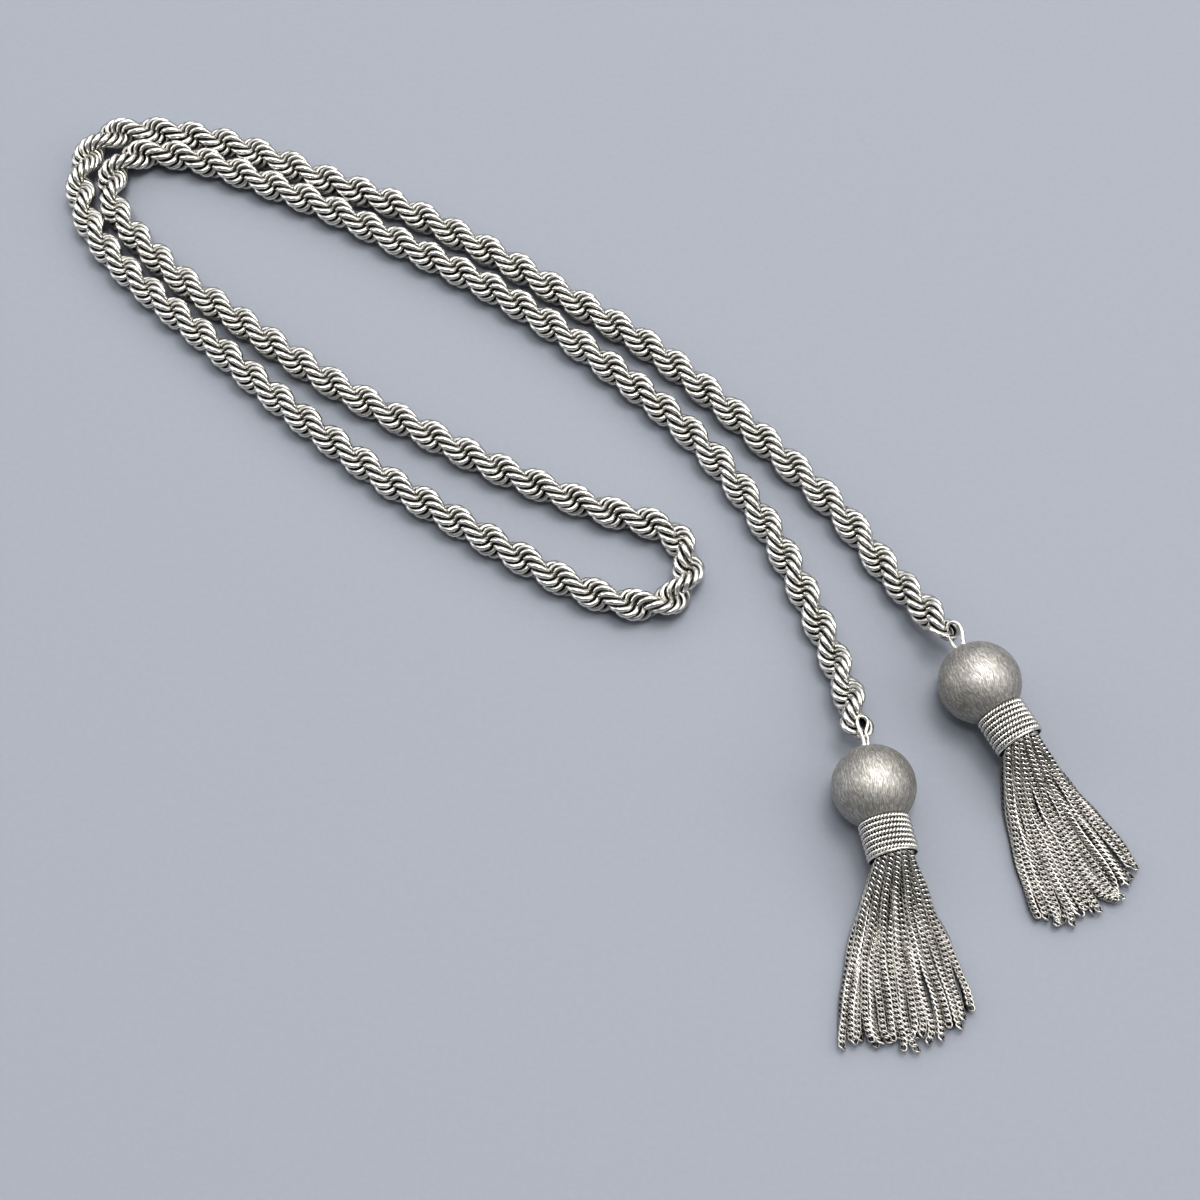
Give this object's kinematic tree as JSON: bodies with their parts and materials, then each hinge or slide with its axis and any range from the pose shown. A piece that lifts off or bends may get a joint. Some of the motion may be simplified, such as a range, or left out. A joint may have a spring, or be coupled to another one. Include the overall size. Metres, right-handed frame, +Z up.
{
  "type": "tassel necklace",
  "caption": "Open-ended rope chain necklace laid folded in half, with a brushed ball, wound collar and fine chain tassel on each end.",
  "frame": {"origin": "on the table, under the middle of the necklace's box as it lies", "axes": "+Z up from the table, +X to the right and +Y away, as the picture shows it"},
  "size_m": [0.2185, 0.2067, 0.016],
  "materials": {
    "rope_links": "polished silver-coloured links, darker in the hollows between them",
    "brushed_ball": "silver-coloured metal brushed with fine short strokes along the ball's axis",
    "wound_wire": "bright twisted wire, dark in the grooves",
    "fine_chains": "bright fine curb links, dark between the links"
  },
  "bodies": {
    "root": {"rope_chain": "rope_links", "ball_near": "brushed_ball", "collar_near": "wound_wire", "tassel_near": "fine_chains", "ball_far": "brushed_ball", "collar_far": "wound_wire", "tassel_far": "fine_chains"}
  },
  "joints": []
}
